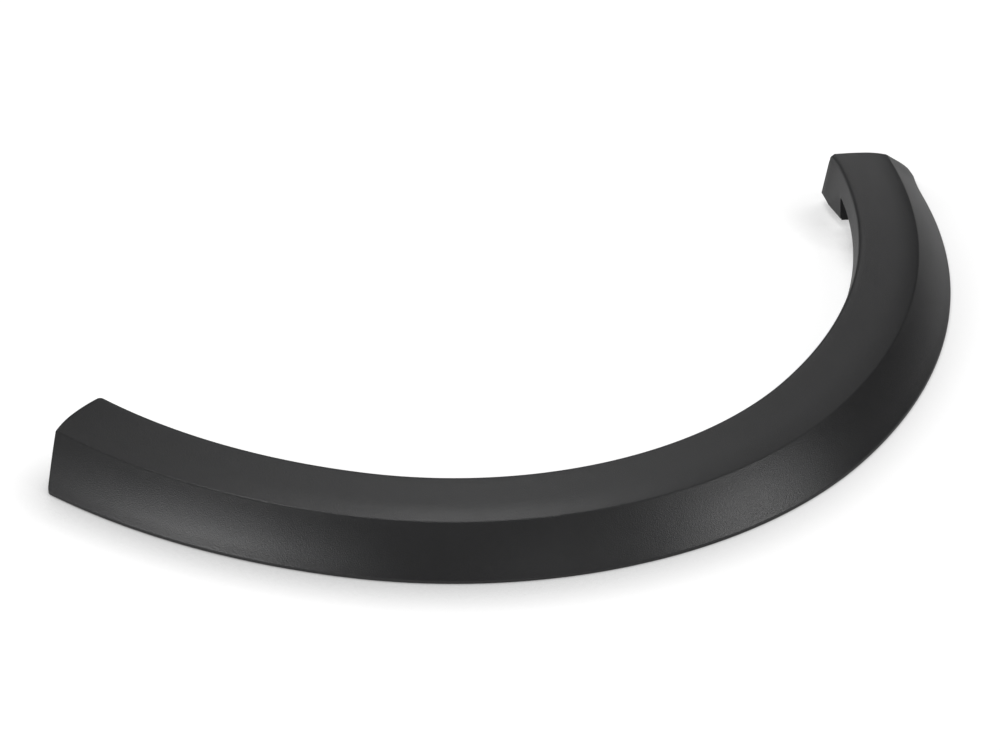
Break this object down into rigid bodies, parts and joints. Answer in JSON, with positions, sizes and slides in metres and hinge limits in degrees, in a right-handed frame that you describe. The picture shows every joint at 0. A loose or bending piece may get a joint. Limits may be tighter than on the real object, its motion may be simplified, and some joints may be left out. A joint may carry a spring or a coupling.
{
  "type": "wheel arch trim",
  "caption": "Moulded plastic trim that covers and protects the edge of a vehicle's wheel opening, with clip seats and a flange behind its face.",
  "frame": {"origin": "under the middle of the part's box, in the plane of its body side edge", "axes": "+Z from the body side edge up towards the broad face, +X from the front end towards the sill end, -Y towards the crown of the arch"},
  "size_m": [0.9318, 0.5015, 0.0489],
  "materials": {
    "body": "fine grained matte, unpainted"
  },
  "bodies": {
    "root": {"wheel_arch_trim": "body"}
  },
  "joints": []
}
